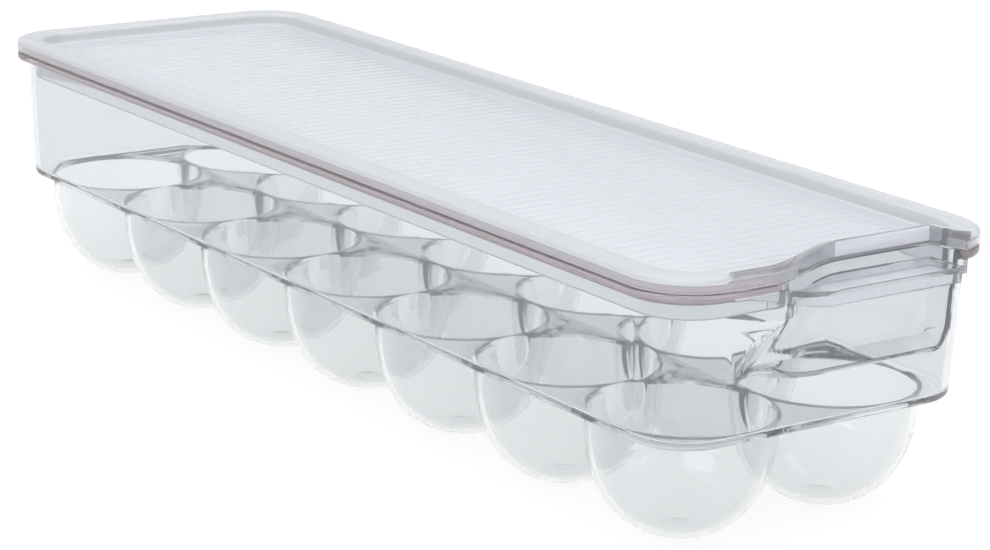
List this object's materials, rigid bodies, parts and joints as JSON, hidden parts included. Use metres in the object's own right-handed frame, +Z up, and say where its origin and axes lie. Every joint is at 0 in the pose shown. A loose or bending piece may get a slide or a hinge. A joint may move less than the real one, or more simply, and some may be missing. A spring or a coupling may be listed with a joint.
{
  "type": "covered egg holder tray",
  "caption": "Clear refrigerator egg holder: a long tray of round-bottomed egg cups in two rows, with a finger grip in one short wall and a ribbed lid that lifts off.",
  "frame": {"origin": "on the surface that the tray stands on, under the middle of the tray", "axes": "+Y along the length, away from the grip; +Z up; +X across the width"},
  "size_m": [0.114, 0.366, 0.0804],
  "materials": {
    "tray_plastic": "clear, polished moulded plastic",
    "lid_plastic": "clear moulded plastic with fine ribs across the panel"
  },
  "bodies": {
    "tray": {"tray": "tray_plastic"},
    "lid": {"lid": "lid_plastic"}
  },
  "joints": [
    {"name": "lid_lift", "type": "slide", "parent": "tray", "child": "lid", "axis": [0, 0, 1], "range_m": [0, 0.12]}
  ]
}
